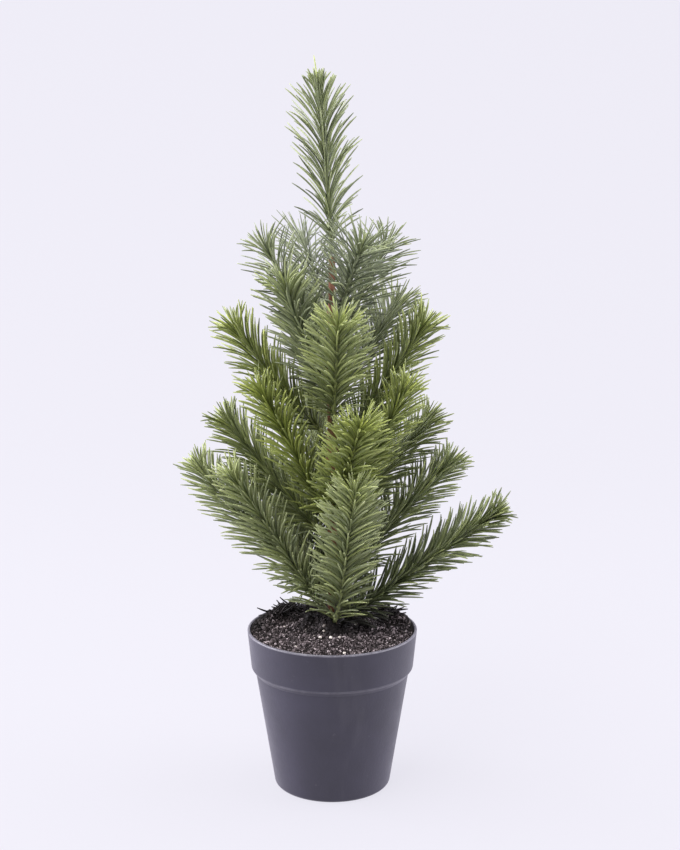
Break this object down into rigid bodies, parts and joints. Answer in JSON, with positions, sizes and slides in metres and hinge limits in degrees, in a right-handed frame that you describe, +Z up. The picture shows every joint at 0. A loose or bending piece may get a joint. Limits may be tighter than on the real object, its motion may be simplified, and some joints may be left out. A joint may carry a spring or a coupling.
{
  "type": "artificial tabletop tree",
  "caption": "Small potted artificial fir: moulded plastic sprigs on bendable wires round a taped trunk, in a weighted plastic pot with grit on top.",
  "frame": {"origin": "centre of the pot's base, on the surface that the pot stands on", "axes": "+Z up along the trunk; -Y is the front"},
  "size_m": [0.2021, 0.1414, 0.4496],
  "materials": {
    "pot_plastic": "matte charcoal moulded plastic",
    "cement": "rough cast cement",
    "soil": "glued dark grit",
    "perlite": "porous pale grains",
    "steel_wire": "dark annealed wire",
    "paper_tape": "waxed crepe paper tape",
    "needle_plastic": "moulded polyethylene, satin, bluish to yellowish green"
  },
  "bodies": {
    "root": {"pot": "pot_plastic", "cement_ballast": "cement", "soil_fill": "soil", "perlite": "perlite", "trunk_rod": "steel_wire", "trunk_wrap": "paper_tape", "tape_bindings": "paper_tape", "wire_legs": "steel_wire"},
    "leader": {"wire_leader": "steel_wire", "sprig_leader": "needle_plastic"},
    "branch_t1_left": {"wire_t1_left": "steel_wire", "sprig_t1_left": "needle_plastic"},
    "branch_t1_back_left": {"wire_t1_back_left": "steel_wire", "sprig_t1_back_left": "needle_plastic"},
    "branch_t1_back": {"wire_t1_back": "steel_wire", "sprig_t1_back": "needle_plastic"},
    "branch_t1_front": {"wire_t1_front": "steel_wire", "sprig_t1_front": "needle_plastic"},
    "branch_t1_right": {"wire_t1_right": "steel_wire", "sprig_t1_right": "needle_plastic"},
    "branch_t2_front_left": {"wire_t2_front_left": "steel_wire", "sprig_t2_front_left": "needle_plastic"},
    "branch_t2_back_right": {"wire_t2_back_right": "steel_wire", "sprig_t2_back_right": "needle_plastic"},
    "branch_t2_left": {"wire_t2_left": "steel_wire", "sprig_t2_left": "needle_plastic"},
    "branch_t2_right": {"wire_t2_right": "steel_wire", "sprig_t2_right": "needle_plastic"},
    "branch_t2_front": {"wire_t2_front": "steel_wire", "sprig_t2_front": "needle_plastic"},
    "branch_t2_back": {"wire_t2_back": "steel_wire", "sprig_t2_back": "needle_plastic"},
    "branch_t3_front_left": {"wire_t3_front_left": "steel_wire", "sprig_t3_front_left": "needle_plastic"},
    "branch_t3_front_right": {"wire_t3_front_right": "steel_wire", "sprig_t3_front_right": "needle_plastic"},
    "branch_t3_front": {"wire_t3_front": "steel_wire", "sprig_t3_front": "needle_plastic"},
    "branch_t3_left": {"wire_t3_left": "steel_wire", "sprig_t3_left": "needle_plastic"},
    "branch_t3_back_right": {"wire_t3_back_right": "steel_wire", "sprig_t3_back_right": "needle_plastic"},
    "branch_t3_back": {"wire_t3_back": "steel_wire", "sprig_t3_back": "needle_plastic"},
    "branch_t4_front_left": {"wire_t4_front_left": "steel_wire", "sprig_t4_front_left": "needle_plastic"},
    "branch_t4_left": {"wire_t4_left": "steel_wire", "sprig_t4_left": "needle_plastic"},
    "branch_t4_back_right": {"wire_t4_back_right": "steel_wire", "sprig_t4_back_right": "needle_plastic"},
    "branch_t4_front": {"wire_t4_front": "steel_wire", "sprig_t4_front": "needle_plastic"},
    "branch_t4_right": {"wire_t4_right": "steel_wire", "sprig_t4_right": "needle_plastic"},
    "branch_t4_back_left": {"wire_t4_back_left": "steel_wire", "sprig_t4_back_left": "needle_plastic"},
    "branch_t4_back": {"wire_t4_back": "steel_wire", "sprig_t4_back": "needle_plastic"}
  },
  "joints": [
    {"name": "bend_leader", "type": "hinge", "parent": "root", "child": "leader", "pos_m": [0, 0, 0.3326], "axis": [0, 1, 0], "range_deg": [-15, 15]},
    {"name": "bend_t1_left", "type": "hinge", "parent": "root", "child": "branch_t1_left", "pos_m": [-0.00386, -0.00103, 0.286], "axis": [-0.2588, 0.9659, 0], "range_deg": [-15, 10]},
    {"name": "bend_t1_back_left", "type": "hinge", "parent": "root", "child": "branch_t1_back_left", "pos_m": [-0.00137, 0.00376, 0.295], "axis": [0.9397, 0.342, 0], "range_deg": [-15, 10]},
    {"name": "bend_t1_back", "type": "hinge", "parent": "root", "child": "branch_t1_back", "pos_m": [0.0015, 0.00371, 0.279], "axis": [0.9272, -0.3746, 0], "range_deg": [-15, 10]},
    {"name": "bend_t1_front", "type": "hinge", "parent": "root", "child": "branch_t1_front", "pos_m": [0.00163, -0.00365, 0.292], "axis": [-0.9135, -0.4067, 0], "range_deg": [-15, 10]},
    {"name": "bend_t1_right", "type": "hinge", "parent": "root", "child": "branch_t1_right", "pos_m": [0.0036, 0.00175, 0.284], "axis": [0.4384, -0.8988, 0], "range_deg": [-15, 10]},
    {"name": "bend_t2_front_left", "type": "hinge", "parent": "root", "child": "branch_t2_front_left", "pos_m": [-0.00268, -0.00297, 0.248], "axis": [-0.7431, 0.6691, 0], "range_deg": [-15, 8]},
    {"name": "bend_t2_back_right", "type": "hinge", "parent": "root", "child": "branch_t2_back_right", "pos_m": [0.00278, 0.00288, 0.246], "axis": [0.7193, -0.6947, 0], "range_deg": [-15, 10]},
    {"name": "bend_t2_left", "type": "hinge", "parent": "root", "child": "branch_t2_left", "pos_m": [-0.004, 0.00021, 0.223], "axis": [0.0523, 0.9986, 0], "range_deg": [-15, 10]},
    {"name": "bend_t2_right", "type": "hinge", "parent": "root", "child": "branch_t2_right", "pos_m": [0.004, 0.00014, 0.214], "axis": [0.0349, -0.9994, 0], "range_deg": [-8, 10]},
    {"name": "bend_t2_front", "type": "hinge", "parent": "root", "child": "branch_t2_front", "pos_m": [0.00028, -0.00399, 0.233], "axis": [-0.9976, -0.0698, 0], "range_deg": [-15, 10]},
    {"name": "bend_t2_back", "type": "hinge", "parent": "root", "child": "branch_t2_back", "pos_m": [-0.0015, 0.00371, 0.238], "axis": [0.9272, 0.3746, 0], "range_deg": [-15, 8]},
    {"name": "bend_t3_front_left", "type": "hinge", "parent": "root", "child": "branch_t3_front_left", "pos_m": [-0.00363, -0.00169, 0.168], "axis": [-0.4226, 0.9063, 0], "range_deg": [-15, 8]},
    {"name": "bend_t3_front_right", "type": "hinge", "parent": "root", "child": "branch_t3_front_right", "pos_m": [0.0036, -0.00175, 0.172], "axis": [-0.4384, -0.8988, 0], "range_deg": [-15, 5]},
    {"name": "bend_t3_front", "type": "hinge", "parent": "root", "child": "branch_t3_front", "pos_m": [0.00124, -0.0038, 0.171], "axis": [-0.9511, -0.309, 0], "range_deg": [-8, 10]},
    {"name": "bend_t3_left", "type": "hinge", "parent": "root", "child": "branch_t3_left", "pos_m": [-0.00391, 0.00083, 0.158], "axis": [0.2079, 0.9781, 0], "range_deg": [-10, 10]},
    {"name": "bend_t3_back_right", "type": "hinge", "parent": "root", "child": "branch_t3_back_right", "pos_m": [0.00332, 0.00224, 0.168], "axis": [0.5592, -0.829, 0], "range_deg": [-8, 10]},
    {"name": "bend_t3_back", "type": "hinge", "parent": "root", "child": "branch_t3_back", "pos_m": [-0.00056, 0.00396, 0.164], "axis": [0.9903, 0.1392, 0], "range_deg": [-15, 10]},
    {"name": "bend_t4_front_left", "type": "hinge", "parent": "root", "child": "branch_t4_front_left", "pos_m": [-0.00384, -0.0011, 0.108], "axis": [-0.2756, 0.9613, 0], "range_deg": [-15, 8]},
    {"name": "bend_t4_left", "type": "hinge", "parent": "root", "child": "branch_t4_left", "pos_m": [-0.00394, 0.00069, 0.122], "axis": [0.1736, 0.9848, 0], "range_deg": [-15, 8]},
    {"name": "bend_t4_back_right", "type": "hinge", "parent": "root", "child": "branch_t4_back_right", "pos_m": [0.00376, 0.00137, 0.128], "axis": [0.342, -0.9397, 0], "range_deg": [-15, 6]},
    {"name": "bend_t4_front", "type": "hinge", "parent": "root", "child": "branch_t4_front", "pos_m": [0.0009, -0.0039, 0.104], "axis": [-0.9744, -0.225, 0], "range_deg": [-15, 6]},
    {"name": "bend_t4_right", "type": "hinge", "parent": "root", "child": "branch_t4_right", "pos_m": [0.00398, -0.00035, 0.102], "axis": [-0.0872, -0.9962, 0], "range_deg": [-15, 10]},
    {"name": "bend_t4_back_left", "type": "hinge", "parent": "root", "child": "branch_t4_back_left", "pos_m": [-0.00229, 0.00328, 0.116], "axis": [0.8192, 0.5736, 0], "range_deg": [-15, 10]},
    {"name": "bend_t4_back", "type": "hinge", "parent": "root", "child": "branch_t4_back", "pos_m": [0.0015, 0.00371, 0.112], "axis": [0.9272, -0.3746, 0], "range_deg": [-15, 10]}
  ]
}
